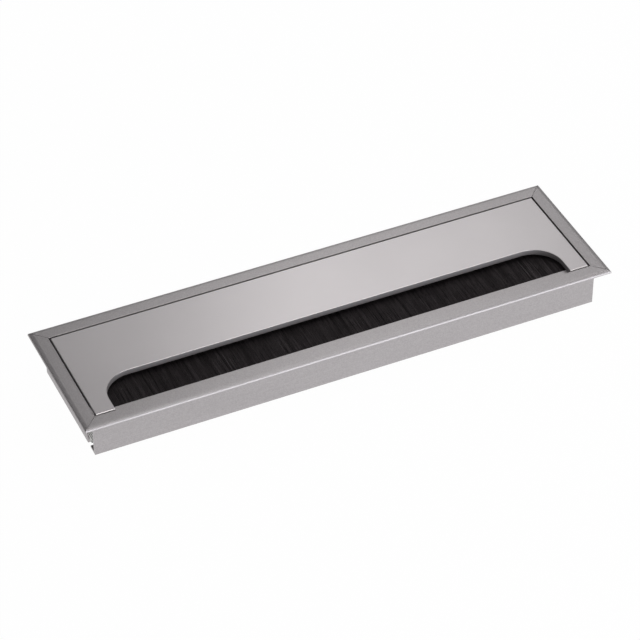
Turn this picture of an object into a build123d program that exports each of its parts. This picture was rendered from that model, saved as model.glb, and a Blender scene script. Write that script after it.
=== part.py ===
from build123d import *
import os

# Cable grommet for a desk top. Four aluminium rails of one extruded section make the frame, and its
# flange lies on the desk. A loose lid rests on the rails' ledge. A brush strip in the front rail
# closes the lid's cut-out around the cables.
# Millimetres, +Z up. The frame stands on Z = 0, the long side runs along X and the cut-out faces -Y.

# Frame over the flange
frame_length = 290.5
frame_width = 80.5
frame_height = 23.8

# Rail section
flange_width = 8.15  # outer edge to the lid's recess
flange_thickness = 1.7
bevel_width = 2.2  # sloping outer border of the flange
bevel_drop = 0.32
bevel_radius = 4.0  # soft start of the slope
rim_radius = 1.25  # upper edge of the rim
rim_lower_radius = 0.2
recess_radius = 0.25  # flange's edge along the lid's recess
wall_inset = 6.45  # overhang of the flange past the wall
wall_thickness = 2.0
ledge_width = 5.3  # seat for the lid, past the flange
web_thickness = 1.2  # ledge, rib and foot
brush_slot_height = 4.8  # groove under the ledge
brush_slot_lip = 0.6
foot_width = 6.3  # from the wall's outer face
key_slot_lip = 2.0
hook_width = 1.0  # both pairs of lips
bottom_radius = 0.3  # outer lower edge of the wall

# Corners
mitre_gap = 0.2  # hairline between two mitred rails
notch_length = 10.0  # the front wall to the body of a side rail
key_leg = 22.0
key_clearance = 0.1
key_rib_depth = 0.6
key_rib_pitch = 2.2
key_rib_height = 1.1
key_head_inset = 0.3  # a front key's ribs, in the notch, to the side wall's outer face
key_head_groove = 0.4  # depth between these ribs
key_head_lift = 1.2  # underside of the head over the key's own
key_head_ribs = 4

# Lid
lid_thickness = 3.0
lid_clearance = 0.8
lid_edge_chamfer = 0.3  # round the outside, at the top
cutout_edge_chamfer = 0.15
cutout_leg = 10.3  # lid left standing at each end of the cut-out
cutout_depth = 24.35
cutout_radius = 16.0

# Brush strip
brush_end_overlap = 4.0  # past each end of the cut-out, under the lid
bristle_overlap = 6.0  # past the cut-out's back edge, under the lid
bristle_clearance = 0.3  # to the lips of the brush slot
channel_gauge = 0.5
channel_clearance = 0.1
head_clearance = 0.05  # filaments to channel and core wire
core_wire_radius = 0.6
tuft_pitch = 2.0
tuft_groove = 0.4

# Places across a rail, measured inward from the flange's outer edge
wall_inner = wall_inset + wall_thickness
ledge_reach = flange_width + ledge_width
foot_reach = wall_inset + foot_width
brush_hook = ledge_reach - hook_width
key_hook = foot_reach - hook_width

# Levels in a rail, measured from the top of the frame
ledge_top = -lid_thickness
ledge_bottom = ledge_top - web_thickness
rib_top = ledge_bottom - brush_slot_height
rib_bottom = rib_top - web_thickness
foot_bottom = -frame_height
foot_top = foot_bottom + web_thickness

# Heights above the surface that the frame stands on
flange_underside_z = frame_height - flange_thickness
lid_underside_z = frame_height - lid_thickness
key_bottom_z = frame_height + foot_top + key_clearance
key_height = rib_bottom - foot_top - 2 * key_clearance

half_length = frame_length / 2
half_width = frame_width / 2
body_half_length = half_length - wall_inset
notch_y = wall_inset + notch_length - half_width
lid_length = frame_length - 2 * (flange_width + lid_clearance)
lid_width = frame_width - 2 * (flange_width + lid_clearance)
cutout_length = lid_length - 2 * cutout_leg
cutout_back_y = cutout_depth - lid_width / 2

# Section planes: x points inward across the rail, y points up, the origin is the flange's outer edge
front_plane = Plane(origin=(0, -half_width, frame_height), x_dir=(0, 1, 0), z_dir=(1, 0, 0))
back_plane = Plane(origin=(0, half_width, frame_height), x_dir=(0, -1, 0), z_dir=(-1, 0, 0))
left_plane = Plane(origin=(-half_length, 0, frame_height), x_dir=(1, 0, 0), z_dir=(0, -1, 0))
right_plane = Plane(origin=(half_length, 0, frame_height), x_dir=(-1, 0, 0), z_dir=(0, 1, 0))


def flange_section(plane):
    """The flange: flat, then falling away softly to a rounded rim."""
    with BuildSketch(plane) as section:
        with BuildLine():
            Polyline(
                (0, -flange_thickness),
                (0, -bevel_drop),
                (bevel_width, 0),
                (flange_width, 0),
                (flange_width, -flange_thickness),
                close=True,
            )
        make_face()
        for corner, radius in (
            ((0, -flange_thickness), rim_lower_radius),
            ((0, -bevel_drop), rim_radius),
            ((bevel_width, 0), bevel_radius),
            ((flange_width, 0), recess_radius),
        ):
            fillet(section.vertices().sort_by_distance(corner)[0], radius)
    return section.sketch


def body_section(plane):
    """What hangs below the flange: wall, ledge, brush slot, rib, key slot and foot."""
    with BuildSketch(plane) as section:
        with BuildLine():
            Polyline(
                (wall_inset, -flange_thickness),
                (wall_inset, foot_bottom),
                (foot_reach, foot_bottom),
                (foot_reach, foot_top + key_slot_lip),
                (key_hook, foot_top + key_slot_lip),
                (key_hook, foot_top),
                (wall_inner, foot_top),
                (wall_inner, rib_bottom),
                (key_hook, rib_bottom),
                (key_hook, rib_bottom - key_slot_lip),
                (foot_reach, rib_bottom - key_slot_lip),
                (foot_reach, rib_bottom),
                (ledge_reach, rib_bottom),
                (ledge_reach, rib_top + brush_slot_lip),
                (brush_hook, rib_top + brush_slot_lip),
                (brush_hook, rib_top),
                (wall_inner, rib_top),
                (wall_inner, ledge_bottom),
                (brush_hook, ledge_bottom),
                (brush_hook, ledge_bottom - brush_slot_lip),
                (ledge_reach, ledge_bottom - brush_slot_lip),
                (ledge_reach, ledge_top),
                (flange_width, ledge_top),
                (flange_width, -flange_thickness),
                close=True,
            )
        make_face()
        outer_lower_corner = section.vertices().group_by(Axis.Y)[0].sort_by(Axis.X)[0]
        fillet(outer_lower_corner, bottom_radius)
    return section.sketch


def mitre_plane(end_x, end_y, toward_long_rail):
    """Diagonal of one corner, set back by half the joint's gap on the side of the rail to be kept."""
    turn = 1 if toward_long_rail else -1
    corner = (end_x * half_length, end_y * half_width, 0)
    diagonal = Plane(origin=corner, z_dir=(-end_x * turn, end_y * turn, 0))
    return diagonal.offset(mitre_gap / 2)


def key_outline(end_x, end_y, skin, height):
    """L of one corner key at a height, with its outer faces drawn in by skin."""
    outer_x = half_length - wall_inner - key_clearance
    outer_y = half_width - wall_inner - key_clearance
    thickness = key_hook - wall_inner - 2 * key_clearance
    with BuildSketch(Plane.XY.offset(height)) as outline:
        with BuildLine():
            Polyline(
                (end_x * (outer_x - skin), end_y * (outer_y - skin)),
                (end_x * (outer_x - key_leg), end_y * (outer_y - skin)),
                (end_x * (outer_x - key_leg), end_y * (outer_y - thickness)),
                (end_x * (outer_x - thickness), end_y * (outer_y - thickness)),
                (end_x * (outer_x - thickness), end_y * (outer_y - key_leg)),
                (end_x * (outer_x - skin), end_y * (outer_y - key_leg)),
                close=True,
            )
        make_face()
    return outline.sketch


def key_head(end_x, front_y, inset, height):
    """A front key's head: it fills the notch from front_y on, with its end inset from the wall's face."""
    inner_x = half_length - wall_inner - key_clearance - key_rib_depth
    outer_x = body_half_length - inset
    back_y = notch_y - key_clearance
    with BuildSketch(Plane.XY.offset(height)) as head:
        with Locations((end_x * (inner_x + outer_x) / 2, (front_y + back_y) / 2)):
            Rectangle(outer_x - inner_x, back_y - front_y)
    return head.sketch


os.makedirs("parts", exist_ok=True)

# Front rail: the flange is mitred, the body below it is cut square and runs out to the side walls
with BuildPart() as front_rail:
    extrude(flange_section(front_plane), amount=half_length, both=True)
    split(bisect_by=mitre_plane(-1, -1, True), keep=Keep.TOP)
    split(bisect_by=mitre_plane(1, -1, True), keep=Keep.TOP)
    extrude(body_section(front_plane), amount=body_half_length, both=True)
    # The lips of the key slot are cleared at each end, where a key turns the corner
    relief_length = key_hook - wall_inset
    relief_y = key_hook - half_width
    with BuildSketch(Plane.XY.offset(frame_height + foot_top)):
        with Locations((-body_half_length, relief_y), (body_half_length, relief_y)):
            Rectangle(2 * relief_length, 2 * hook_width, align=(Align.CENTER, Align.MIN))
    extrude(amount=rib_bottom - foot_top, mode=Mode.SUBTRACT)
front_rail.part.label = "front_rail"
export_step(front_rail.part, "parts/front_rail.step")

# Back rail: flange and body are mitred together
with BuildPart() as back_rail:
    extrude(flange_section(back_plane), amount=half_length, both=True)
    extrude(body_section(back_plane), amount=half_length, both=True)
    split(bisect_by=mitre_plane(-1, 1, True), keep=Keep.TOP)
    split(bisect_by=mitre_plane(1, 1, True), keep=Keep.TOP)
back_rail.part.label = "back_rail"
export_step(back_rail.part, "parts/back_rail.step")

# Side rails: mitred, with the body cut away at the front so that the brush slides into the front rail
for side, end_x, side_plane in (("left", -1, left_plane), ("right", 1, right_plane)):
    with BuildPart() as side_rail:
        extrude(flange_section(side_plane), amount=half_width, both=True)
        extrude(body_section(side_plane), amount=half_width, both=True)
        split(bisect_by=mitre_plane(end_x, -1, False), keep=Keep.TOP)
        split(bisect_by=mitre_plane(end_x, 1, False), keep=Keep.TOP)
        with BuildSketch(Plane.XY):
            with Locations((end_x * half_length, notch_y)):
                Rectangle(2 * frame_width, frame_width, align=(Align.CENTER, Align.MAX))
        extrude(amount=flange_underside_z, mode=Mode.SUBTRACT)
    side_rail.part.label = f"{side}_rail"
    export_step(side_rail.part, f"parts/{side}_rail.step")

# Corner keys: an L with ribs on its outer faces, which wedge it in the rails' key slots. At the front,
# a head fills the notch, and its upper ribs reach into the open end of the front rail's slot.
notch_front_y = foot_reach + key_clearance - half_width
slot_front_y = wall_inner + key_clearance - half_width
key_rib_count = int((key_height - key_rib_height) // key_rib_pitch) + 1
key_rib_start = (key_height - key_rib_height - (key_rib_count - 1) * key_rib_pitch) / 2
for row, end_y in (("front", -1), ("back", 1)):
    for side, end_x in (("left", -1), ("right", 1)):
        with BuildPart() as corner_key:
            core = key_outline(end_x, end_y, key_rib_depth, key_bottom_z)
            extrude(core, amount=key_height, dir=(0, 0, 1))
            for rib in range(key_rib_count):
                rib_z = key_bottom_z + key_rib_start + rib * key_rib_pitch
                extrude(key_outline(end_x, end_y, 0, rib_z), amount=key_rib_height, dir=(0, 0, 1))
                if row == "front" and rib >= key_rib_count - key_head_ribs:
                    head_rib = key_head(end_x, slot_front_y, key_head_inset, rib_z)
                    extrude(head_rib, amount=key_rib_height, dir=(0, 0, 1))
            if row == "front":
                head_z = key_bottom_z + key_head_lift
                head = key_head(end_x, notch_front_y, key_head_inset + key_head_groove, head_z)
                extrude(head, amount=key_height - key_head_lift, dir=(0, 0, 1))
        corner_key.part.label = f"corner_key_{row}_{side}"
        export_step(corner_key.part, f"parts/corner_key_{row}_{side}.step")

# Lid: a flat plate, with a cut-out open to the front and rounded at the back
with BuildPart() as lid:
    with BuildSketch(Plane.XY.offset(lid_underside_z)) as lid_outline:
        Rectangle(lid_length, lid_width)
        with Locations((0, cutout_back_y)):
            Rectangle(cutout_length, lid_width, align=(Align.CENTER, Align.MAX), mode=Mode.SUBTRACT)
        fillet(lid_outline.vertices().group_by(Axis.Y)[1], cutout_radius)
    extrude(amount=lid_thickness)
    # Along X, the cut-out's upper edges and the lid's back edge have their middles between the legs
    between_legs = cutout_length / 2 + cutout_leg / 4
    for at_cutout, edge_chamfer in ((True, cutout_edge_chamfer), (False, lid_edge_chamfer)):
        top_edges = lid.faces().sort_by(Axis.Z)[-1].edges()
        middle_edges = top_edges.filter_by_position(Axis.X, -between_legs, between_legs)
        cutout_edges = middle_edges.sort_by(Axis.Y)[:-1]
        chamfer(cutout_edges if at_cutout else top_edges - cutout_edges, edge_chamfer)
lid.part.label = "lid"
export_step(lid.part, "parts/lid.step")

# Brush strip, in the front rail's slot: its section is drawn around the slot's middle
brush_length = cutout_length + 2 * brush_end_overlap
slot_middle = (ledge_bottom + rib_top) / 2
bristle_thickness = brush_slot_height - 2 * (brush_slot_lip + bristle_clearance)
channel_height = brush_slot_height - 2 * channel_clearance
channel_back = wall_inner + channel_clearance
channel_mouth = brush_hook - channel_clearance
cavity_height = channel_height - 2 * channel_gauge
head_back = channel_back + channel_gauge + head_clearance
head_front = channel_mouth - channel_gauge - head_clearance
head_height = cavity_height - 2 * head_clearance
head_middle = (head_back + head_front) / 2
bristle_tip = half_width + cutout_back_y + bristle_overlap

# Channel: sheet strip crimped over the filaments
with BuildPart() as brush_channel:
    with BuildSketch(front_plane):
        with Locations((channel_back, slot_middle)):
            Rectangle(channel_mouth - channel_back, channel_height, align=(Align.MIN, Align.CENTER))
        with Locations((channel_back + channel_gauge, slot_middle)):
            Rectangle(
                channel_mouth - channel_back - 2 * channel_gauge,
                cavity_height,
                align=(Align.MIN, Align.CENTER),
                mode=Mode.SUBTRACT,
            )
        with Locations((channel_mouth, slot_middle)):
            Rectangle(
                2 * channel_gauge,
                bristle_thickness + 2 * head_clearance,
                mode=Mode.SUBTRACT,
            )
    extrude(amount=brush_length / 2, both=True)
brush_channel.part.label = "brush_channel"
export_step(brush_channel.part, "parts/brush_channel.step")

# Core wire: the filaments are folded over it
with BuildPart() as brush_core_wire:
    with BuildSketch(front_plane):
        with Locations((head_middle, slot_middle)):
            Circle(core_wire_radius)
    extrude(amount=brush_length / 2, both=True)
brush_core_wire.part.label = "brush_core_wire"
export_step(brush_core_wire.part, "parts/brush_core_wire.step")

# Bristles: a folded head inside the channel, and tufts that lie side by side out to their tips
tuft_count = int(brush_length // tuft_pitch)
tuft_edges = [(step - tuft_count) * tuft_pitch / 2 for step in range(2 * tuft_count + 1)]
tuft_crests = [bristle_thickness / 2 - tuft_groove * (1 - step % 2) for step in range(2 * tuft_count + 1)]
tuft_plane = Plane(
    origin=(0, head_front - half_width, frame_height + slot_middle),
    x_dir=(1, 0, 0),
    z_dir=(0, -1, 0),
)
with BuildPart() as brush_bristles:
    with BuildSketch(front_plane):
        with Locations((head_middle, slot_middle)):
            Rectangle(head_front - head_back, head_height)
            Circle(core_wire_radius + head_clearance, mode=Mode.SUBTRACT)
    extrude(amount=tuft_count * tuft_pitch / 2, both=True)
    with BuildSketch(tuft_plane):
        with BuildLine():
            Polyline(
                *zip(tuft_edges, tuft_crests),
                *((edge, -crest) for edge, crest in zip(reversed(tuft_edges), reversed(tuft_crests))),
                close=True,
            )
        make_face()
    extrude(amount=head_front - bristle_tip)
brush_bristles.part.label = "brush_bristles"
export_step(brush_bristles.part, "parts/brush_bristles.step")
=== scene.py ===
import math
import random

import bpy
from mathutils import Matrix, Vector


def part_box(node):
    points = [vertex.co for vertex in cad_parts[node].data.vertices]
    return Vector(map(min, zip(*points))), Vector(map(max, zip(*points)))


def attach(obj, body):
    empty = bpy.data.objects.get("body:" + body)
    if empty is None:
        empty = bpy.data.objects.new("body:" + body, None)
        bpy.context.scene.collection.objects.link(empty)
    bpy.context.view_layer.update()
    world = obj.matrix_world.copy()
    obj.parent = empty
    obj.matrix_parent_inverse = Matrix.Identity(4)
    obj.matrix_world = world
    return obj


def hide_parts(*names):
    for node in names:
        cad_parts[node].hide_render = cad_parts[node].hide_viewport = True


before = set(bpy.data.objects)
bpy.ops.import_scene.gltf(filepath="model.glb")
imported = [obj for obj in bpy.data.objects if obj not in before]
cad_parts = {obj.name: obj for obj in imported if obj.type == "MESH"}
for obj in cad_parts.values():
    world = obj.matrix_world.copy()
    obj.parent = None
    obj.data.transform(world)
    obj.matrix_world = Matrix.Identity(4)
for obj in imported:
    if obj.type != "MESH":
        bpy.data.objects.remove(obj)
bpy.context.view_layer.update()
mm = 0.001


def linearColour(hexCode):
    channels = [int(hexCode[i:i + 2], 16) / 255 for i in (1, 3, 5)]
    linear = [c / 12.92 if c <= 0.04045 else ((c + 0.055) / 1.055) ** 2.4 for c in channels]
    return (*linear, 1.0)


def addNode(tree, kind, inputs=None, **settings):
    node = tree.nodes.new(kind)
    for name, value in settings.items():
        setattr(node, name, value)
    for socket, value in (inputs or {}).items():
        if isinstance(value, bpy.types.NodeSocket):
            tree.links.new(value, node.inputs[socket])
        else:
            node.inputs[socket].default_value = value
    return node


def newMaterial(name):
    material = bpy.data.materials.new(name)
    material.use_nodes = True
    material.node_tree.nodes.clear()
    return material, material.node_tree


def deselectAll():
    if bpy.context.object and bpy.context.object.mode != "OBJECT":
        bpy.ops.object.mode_set(mode="OBJECT")
    bpy.ops.object.select_all(action="DESELECT")


# satin anodised extrusion: grey sheen, a fine etched speckle and faint die lines along the rail
railFinish = {
    "colour": "#C0BCBD",
    "colourDeep": "#908C8D",
    "roughness": (0.40, 0.48),
    "grain": 0.4,  # how far the die lines draw the sheen out across them
    "speckle": 0.5 * mm,  # drawn coarser than a real etch, so that it shows
    "speckleShare": 0.7,  # of the tone, and the die lines give the rest
    "lineSpacing": 0.35 * mm,  # real die lines are finer, drawn this wide so that they show
    "lineLength": 60 * mm,
    "lineHeight": 0.002 * mm,
    "lineStrength": 0.3,
}


def extrudedAluminium(name, alongX):
    material, tree = newMaterial(name)
    across = 1 / railFinish["lineSpacing"]
    along = 1 / railFinish["lineLength"]
    stretch = (along, across, across) if alongX else (across, along, across)
    coordinates = addNode(tree, "ShaderNodeTexCoord")
    stretched = addNode(
        tree, "ShaderNodeMapping", {"Vector": coordinates.outputs["Object"], "Scale": stretch}
    )
    dieLines = addNode(
        tree,
        "ShaderNodeTexNoise",
        {"Vector": stretched.outputs["Vector"], "Scale": 1.0, "Detail": 2.0},
    )
    speckle = addNode(
        tree,
        "ShaderNodeTexNoise",
        {
            "Vector": coordinates.outputs["Object"],
            "Scale": 1 / railFinish["speckle"],
            "Detail": 1.0,
        },
    )
    mottle = addNode(
        tree,
        "ShaderNodeMix",
        {
            "Factor": railFinish["speckleShare"],
            "A": dieLines.outputs["Fac"],
            "B": speckle.outputs["Fac"],
        },
    )
    tone = addNode(tree, "ShaderNodeValToRGB", {"Fac": mottle.outputs["Result"]})
    tone.color_ramp.elements[0].color = linearColour(railFinish["colourDeep"])
    tone.color_ramp.elements[1].color = linearColour(railFinish["colour"])
    roughness = addNode(
        tree,
        "ShaderNodeMapRange",
        {
            "Value": dieLines.outputs["Fac"],
            "To Min": railFinish["roughness"][0],
            "To Max": railFinish["roughness"][1],
        },
    )
    ridges = addNode(
        tree,
        "ShaderNodeBump",
        {
            "Height": dieLines.outputs["Fac"],
            "Strength": railFinish["lineStrength"],
            "Distance": railFinish["lineHeight"],
        },
    )
    acrossGrain = addNode(
        tree, "ShaderNodeCombineXYZ", {"X": 0.0 if alongX else 1.0, "Y": 1.0 if alongX else 0.0}
    )
    metal = addNode(
        tree,
        "ShaderNodeBsdfPrincipled",
        {
            "Base Color": tone.outputs["Color"],
            "Metallic": 1.0,
            "Roughness": roughness.outputs["Result"],
            "Anisotropic": railFinish["grain"],
            "Tangent": acrossGrain.outputs["Vector"],
            "Normal": ridges.outputs["Normal"],
        },
    )
    addNode(tree, "ShaderNodeOutputMaterial", {"Surface": metal.outputs["BSDF"]})
    return material


# satin etched and anodised sheet: smoother than the rails, an even etch, and dull cut edges
lidFinish = {
    "colour": "#B3AFB0",
    "colourDeep": "#ADA9AA",
    "roughness": (0.27, 0.32),
    "edgeRoughness": 0.70,
    "edgeTilt": (0.1, 0.4),  # upward part of the normal, from cut edge to flat face
    "etchGrain": 0.25 * mm,  # drawn coarser than a real etch, so that it shows
    "etchHeight": 0.0015 * mm,
    "etchStrength": 0.3,
    "cloud": 30 * mm,
}


def etchedSheet(name):
    material, tree = newMaterial(name)
    coordinates = addNode(tree, "ShaderNodeTexCoord")
    etch = addNode(
        tree,
        "ShaderNodeTexNoise",
        {
            "Vector": coordinates.outputs["Object"],
            "Scale": 1 / lidFinish["etchGrain"],
            "Detail": 2.0,
        },
    )
    clouds = addNode(
        tree,
        "ShaderNodeTexNoise",
        {"Vector": coordinates.outputs["Object"], "Scale": 1 / lidFinish["cloud"], "Detail": 3.0},
    )
    tone = addNode(tree, "ShaderNodeValToRGB", {"Fac": clouds.outputs["Fac"]})
    tone.color_ramp.elements[0].color = linearColour(lidFinish["colourDeep"])
    tone.color_ramp.elements[1].color = linearColour(lidFinish["colour"])
    flatRoughness = addNode(
        tree,
        "ShaderNodeMapRange",
        {
            "Value": etch.outputs["Fac"],
            "To Min": lidFinish["roughness"][0],
            "To Max": lidFinish["roughness"][1],
        },
    )
    facing = addNode(tree, "ShaderNodeNewGeometry")
    upward = addNode(tree, "ShaderNodeSeparateXYZ", {"Vector": facing.outputs["Normal"]})
    flatness = addNode(tree, "ShaderNodeMath", {0: upward.outputs["Z"]}, operation="ABSOLUTE")
    roughness = addNode(
        tree,
        "ShaderNodeMapRange",
        {
            "Value": flatness.outputs[0],
            "From Min": lidFinish["edgeTilt"][0],
            "From Max": lidFinish["edgeTilt"][1],
            "To Min": lidFinish["edgeRoughness"],
            "To Max": flatRoughness.outputs["Result"],
        },
    )
    pits = addNode(
        tree,
        "ShaderNodeBump",
        {
            "Height": etch.outputs["Fac"],
            "Strength": lidFinish["etchStrength"],
            "Distance": lidFinish["etchHeight"],
        },
    )
    metal = addNode(
        tree,
        "ShaderNodeBsdfPrincipled",
        {
            "Base Color": tone.outputs["Color"],
            "Metallic": 1.0,
            "Roughness": roughness.outputs["Result"],
            "Normal": pits.outputs["Normal"],
        },
    )
    addNode(tree, "ShaderNodeOutputMaterial", {"Surface": metal.outputs["BSDF"]})
    return material


# die-cast aluminium key: dull, mottled by the mould
keyFinish = {
    "colour": "#C9C8C6",
    "colourDeep": "#B3B2B0",
    "roughness": 0.48,
    "castGrain": 0.6 * mm,
    "grainHeight": 0.02 * mm,
    "grainStrength": 0.5,
}


def castAluminium(name):
    material, tree = newMaterial(name)
    coordinates = addNode(tree, "ShaderNodeTexCoord")
    grain = addNode(
        tree,
        "ShaderNodeTexNoise",
        {
            "Vector": coordinates.outputs["Object"],
            "Scale": 1 / keyFinish["castGrain"],
            "Detail": 4.0,
        },
    )
    tone = addNode(tree, "ShaderNodeValToRGB", {"Fac": grain.outputs["Fac"]})
    tone.color_ramp.elements[0].color = linearColour(keyFinish["colourDeep"])
    tone.color_ramp.elements[1].color = linearColour(keyFinish["colour"])
    skin = addNode(
        tree,
        "ShaderNodeBump",
        {
            "Height": grain.outputs["Fac"],
            "Strength": keyFinish["grainStrength"],
            "Distance": keyFinish["grainHeight"],
        },
    )
    metal = addNode(
        tree,
        "ShaderNodeBsdfPrincipled",
        {
            "Base Color": tone.outputs["Color"],
            "Metallic": 1.0,
            "Roughness": keyFinish["roughness"],
            "Normal": skin.outputs["Normal"],
        },
    )
    addNode(tree, "ShaderNodeOutputMaterial", {"Surface": metal.outputs["BSDF"]})
    return material


# galvanised steel strip and wire: zinc spangle in pale and dark flakes
stripFinish = {
    "colour": "#A6A9AB",
    "colourDeep": "#888B8E",
    "roughness": 0.42,
    "spangle": 3 * mm,
}


def galvanisedSteel(name):
    material, tree = newMaterial(name)
    coordinates = addNode(tree, "ShaderNodeTexCoord")
    flakes = addNode(
        tree,
        "ShaderNodeTexVoronoi",
        {"Vector": coordinates.outputs["Object"], "Scale": 1 / stripFinish["spangle"]},
    )
    tone = addNode(tree, "ShaderNodeValToRGB", {"Fac": flakes.outputs["Color"]})
    tone.color_ramp.elements[0].color = linearColour(stripFinish["colourDeep"])
    tone.color_ramp.elements[1].color = linearColour(stripFinish["colour"])
    metal = addNode(
        tree,
        "ShaderNodeBsdfPrincipled",
        {
            "Base Color": tone.outputs["Color"],
            "Metallic": 1.0,
            "Roughness": stripFinish["roughness"],
        },
    )
    addNode(tree, "ShaderNodeOutputMaterial", {"Surface": metal.outputs["BSDF"]})
    return material


# drawn black nylon filament: near black, paler in some tufts, with a soft low gloss
bristleFinish = {
    "colour": "#191617",
    "colourPale": "#5D5759",
    "roughness": 0.55,
    "ior": 1.53,
    "specular": 0.1,  # low, since hairs this close shade each other's gloss
    "tuftTone": (1.0 * mm, 25 * mm, 2.5 * mm),  # one tone's width, length and height
}


def nylonFilament(name):
    material, tree = newMaterial(name)
    coordinates = addNode(tree, "ShaderNodeTexCoord")
    stretched = addNode(
        tree,
        "ShaderNodeMapping",
        {
            "Vector": coordinates.outputs["Object"],
            "Scale": tuple(1 / size for size in bristleFinish["tuftTone"]),
        },
    )
    tufts = addNode(
        tree,
        "ShaderNodeTexNoise",
        {"Vector": stretched.outputs["Vector"], "Scale": 1.0, "Detail": 2.0},
    )
    tone = addNode(tree, "ShaderNodeValToRGB", {"Fac": tufts.outputs["Fac"]})
    tone.color_ramp.elements[0].color = linearColour(bristleFinish["colour"])
    tone.color_ramp.elements[1].color = linearColour(bristleFinish["colourPale"])
    plastic = addNode(
        tree,
        "ShaderNodeBsdfPrincipled",
        {
            "Base Color": tone.outputs["Color"],
            "Roughness": bristleFinish["roughness"],
            "IOR": bristleFinish["ior"],
            "Specular IOR Level": bristleFinish["specular"],
        },
    )
    addNode(tree, "ShaderNodeOutputMaterial", {"Surface": plastic.outputs["BSDF"]})
    return material


def dress(node, material):
    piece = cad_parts[node]
    piece.data.materials.clear()
    piece.data.materials.append(material)


longRail = extrudedAluminium("anodisedRailLong", True)
sideRail = extrudedAluminium("anodisedRailSide", False)
keyMetal = castAluminium("dieCastKey")
stripSteel = galvanisedSteel("galvanisedStrip")
nylon = nylonFilament("nylonBristle")
for node in ("front_rail", "back_rail"):
    dress(node, longRail)
for node in ("left_rail", "right_rail"):
    dress(node, sideRail)
dress("lid", etchedSheet("anodisedLid"))
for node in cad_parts:
    if node.startswith("corner_key"):
        dress(node, keyMetal)
dress("brush_channel", stripSteel)
dress("brush_core_wire", stripSteel)
print("finishes on the CAD nodes")


# one filament is modelled, then laid side by side, each with its own lean, bow and length
brush = {
    "count": 9000,
    "radius": 0.15 * mm,
    "sides": 3,
    "rings": 3,
    "seed": 7,
    "rootInset": 0.6 * mm,  # from the front of the bristle solid, inside the channel
    "packHeight": 2.6 * mm,
    "fanHeight": 0.1 * mm,
    "lean": 0.35 * mm,
    "clumpLean": 0.3 * mm,
    "clumpWidth": 5 * mm,
    "leanCurve": 1.5,  # power by which a lean grows from the channel's mouth to the tip
    "bow": 0.2 * mm,
    "tipRagged": 0.5 * mm,
}


def modelFilament(length):
    deselectAll()
    bpy.ops.mesh.primitive_circle_add(
        vertices=brush["sides"],
        radius=brush["radius"],
        fill_type="NGON",
        rotation=(math.pi / 2, 0, 0),
    )
    hair = bpy.context.object
    bpy.ops.object.transform_apply(location=False, rotation=True, scale=False)
    bpy.ops.object.mode_set(mode="EDIT")
    bpy.ops.mesh.select_all(action="SELECT")
    step = length / (brush["rings"] - 1)
    for _ in range(brush["rings"] - 1):
        bpy.ops.mesh.extrude_region_move(TRANSFORM_OT_translate={"value": (0, step, 0)})
    bpy.ops.mesh.select_all(action="SELECT")
    bpy.ops.mesh.normals_make_consistent(inside=False)
    bpy.ops.object.mode_set(mode="OBJECT")
    return hair


def layBrush():
    low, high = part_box("brush_bristles")
    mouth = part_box("brush_channel")[1].y
    root = low.y + brush["rootInset"]
    middle = (low.z + high.z) / 2
    length = high.y - root - brush["tipRagged"]
    hair = modelFilament(length)
    shape = [v.co.copy() for v in hair.data.vertices]
    sides = [tuple(p.vertices) for p in hair.data.polygons]
    bpy.data.objects.remove(hair)
    dice = random.Random(brush["seed"])
    clumpCount = int((high.x - low.x) / brush["clumpWidth"]) + 2
    clumps = [dice.gauss(0, brush["clumpLean"]) for _ in range(clumpCount)]
    free = high.y - mouth
    points, faces = [], []
    for index in range(brush["count"]):
        along = (index + dice.random()) / brush["count"]
        place = low.x + brush["lean"] + along * (high.x - low.x - 2 * brush["lean"])
        height = dice.uniform(-0.5, 0.5)  # share of the pack's height, from its middle
        spot = (place - low.x) / brush["clumpWidth"]
        near = int(spot)
        lean = clumps[near] + (clumps[near + 1] - clumps[near]) * (spot - near)
        lean += dice.gauss(0, brush["lean"])
        bow = dice.gauss(0, brush["bow"])
        fan = height * brush["fanHeight"] * 2
        cut = dice.uniform(-1, 1) * brush["tipRagged"]
        first = len(points)
        for co in shape:
            out = max(0.0, (root + co.y - mouth) / free)
            x = place + co.x + lean * out ** brush["leanCurve"]
            y = root + co.y * (1 + cut / length)
            z = middle + height * brush["packHeight"] + co.z + fan * out
            z += bow * out * (1 - out) * 4  # the bow is fullest halfway out
            points.append(
                (min(max(x, low.x), high.x), min(y, high.y), min(max(z, low.z), high.z))
            )
        faces.extend(tuple(first + v for v in side) for side in sides)
    mesh = bpy.data.meshes.new("brushFilaments")
    mesh.from_pydata(points, [], faces)
    mesh.shade_smooth()
    mesh.update()
    piece = bpy.data.objects.new("brushFilaments", mesh)
    bpy.context.scene.collection.objects.link(piece)
    piece.data.materials.append(nylon)
    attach(piece, "root")
    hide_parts("brush_bristles")


layBrush()
print("brush filaments laid:", brush["count"])


# pale studio floor: white to the eye and in reflections, with a trace of the object's shadow
studio = {
    "floorSize": 6.0,  # metres
    "floorColour": "#F2F2F2",
    "whiteColour": "#FFFFFF",
    "whiteStrength": 1.0,
    "whiteShare": 0.985,  # the rest is the matte floor, which takes the shadow
    "worldColour": "#FFFFFF",
    "worldStrength": 0.17,
    "lampAim": (0.0, 0.0, 0.02),
}


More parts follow.
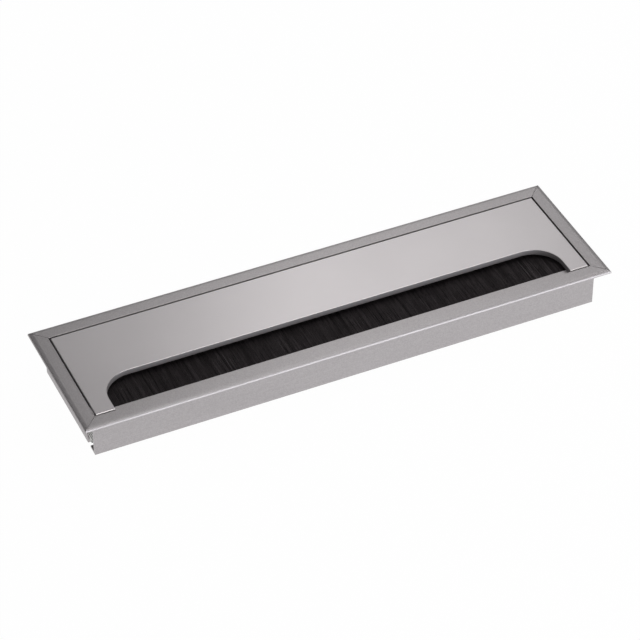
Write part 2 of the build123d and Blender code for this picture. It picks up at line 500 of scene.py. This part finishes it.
def layFloor():
    deselectAll()
    bpy.ops.mesh.primitive_plane_add(size=studio["floorSize"])
    floor = bpy.context.object
    floor.name = "studioFloor"
    material, tree = newMaterial("paleFloor")
    path = addNode(tree, "ShaderNodeLightPath")
    seen = addNode(
        tree,
        "ShaderNodeMath",
        {0: path.outputs["Is Camera Ray"], 1: path.outputs["Is Glossy Ray"]},
        operation="MAXIMUM",
    )
    seenThrough = addNode(
        tree,
        "ShaderNodeMath",
        {0: seen.outputs[0], 1: path.outputs["Is Transmission Ray"]},
        operation="MAXIMUM",
    )
    share = addNode(
        tree,
        "ShaderNodeMath",
        {0: seenThrough.outputs[0], 1: studio["whiteShare"]},
        operation="MULTIPLY",
    )
    matte = addNode(tree, "ShaderNodeBsdfDiffuse", {"Color": linearColour(studio["floorColour"])})
    white = addNode(
        tree,
        "ShaderNodeEmission",
        {"Color": linearColour(studio["whiteColour"]), "Strength": studio["whiteStrength"]},
    )
    mixed = addNode(
        tree,
        "ShaderNodeMixShader",
        {0: share.outputs[0], 1: matte.outputs["BSDF"], 2: white.outputs["Emission"]},
    )
    addNode(tree, "ShaderNodeOutputMaterial", {"Surface": mixed.outputs["Shader"]})
    floor.data.materials.append(material)


def lightWorld():
    world = bpy.data.worlds.new("studioWorld")
    world.use_nodes = True
    tree = world.node_tree
    tree.nodes.clear()
    sky = addNode(
        tree,
        "ShaderNodeBackground",
        {"Color": linearColour(studio["worldColour"]), "Strength": studio["worldStrength"]},
    )
    addNode(tree, "ShaderNodeOutputWorld", {"Surface": sky.outputs["Background"]})
    bpy.context.scene.world = world


# soft boxes, all turned to the studio's lampAim: place and size in metres, power in watts
lamps = {
    "keyBox": {"place": (0.37, 0.60, 0.66), "size": (0.32, 0.42), "power": 0.61},
    "keyTail": {"place": (0.16, 0.70, 0.64), "size": (0.30, 0.17), "power": 0.18},
    "topBox": {"place": (0.29, 0.32, 0.87), "size": (0.30, 0.20), "power": 0.36},
    "overheadBox": {"place": (0.09, -0.05, 0.96), "size": (0.40, 0.40), "power": 1.15},
    "frontBox": {"place": (0.21, -0.65, 0.68), "size": (0.90, 0.20), "power": 2.05},
    "frontStrip": {
        "place": (0.29, -0.90, 0.10),
        "size": (0.90, 0.14),
        "power": 4.6,
        "colour": "#F7FAFF",
    },
    "rightBox": {"place": (0.69, 0.15, 0.66), "size": (0.30, 0.30), "power": 1.30},
    "leftBack": {"place": (-0.48, 0.71, 0.44), "size": (0.40, 0.30), "power": 0.12},
}


def hangLamps():
    for name, lamp in lamps.items():
        light = bpy.data.lights.new(name, "AREA")
        light.shape = "RECTANGLE"
        light.size, light.size_y = lamp["size"]
        light.energy = lamp["power"]
        light.color = linearColour(lamp.get("colour", studio["whiteColour"]))[:3]
        box = bpy.data.objects.new(name, light)
        aim = Vector(studio["lampAim"]) - Vector(lamp["place"])
        box.location = lamp["place"]
        box.rotation_euler = aim.to_track_quat("-Z", "Y").to_euler()
        bpy.context.scene.collection.objects.link(box)


# the photograph's view: angles in degrees, lens and sensor in millimetres, the rest in metres
view = {
    "bearing": -24.605,
    "height": 40.388,
    "roll": -0.192,
    "distance": 1.4440,
    "target": (-0.00761, -0.01263, 0.0238),
    "lens": 160.79,
    "sensor": 36.0,
    "farEnd": 20.0,
}


def placeCamera():
    bearing, height, roll = (math.radians(view[k]) for k in ("bearing", "height", "roll"))
    back = Vector(
        (
            math.sin(bearing) * math.cos(height),
            -math.cos(bearing) * math.cos(height),
            math.sin(height),
        )
    )
    right = back.cross(Vector((0, 0, 1))).normalized() * -1
    up = back.cross(right)
    turnedRight = right * math.cos(roll) + up * math.sin(roll)
    turnedUp = up * math.cos(roll) - right * math.sin(roll)
    lensData = bpy.data.cameras.new("photoCamera")
    lensData.lens = view["lens"]
    lensData.sensor_width = view["sensor"]
    lensData.clip_end = view["farEnd"]
    camera = bpy.data.objects.new("photoCamera", lensData)
    camera.location = Vector(view["target"]) + back * view["distance"]
    camera.rotation_euler = Matrix((turnedRight, turnedUp, back)).transposed().to_euler()
    bpy.context.scene.collection.objects.link(camera)
    bpy.context.scene.camera = camera


layFloor()
lightWorld()
hangLamps()
placeCamera()
bpy.context.scene.view_settings.view_transform = "Standard"
print("studio, lamps and camera set")
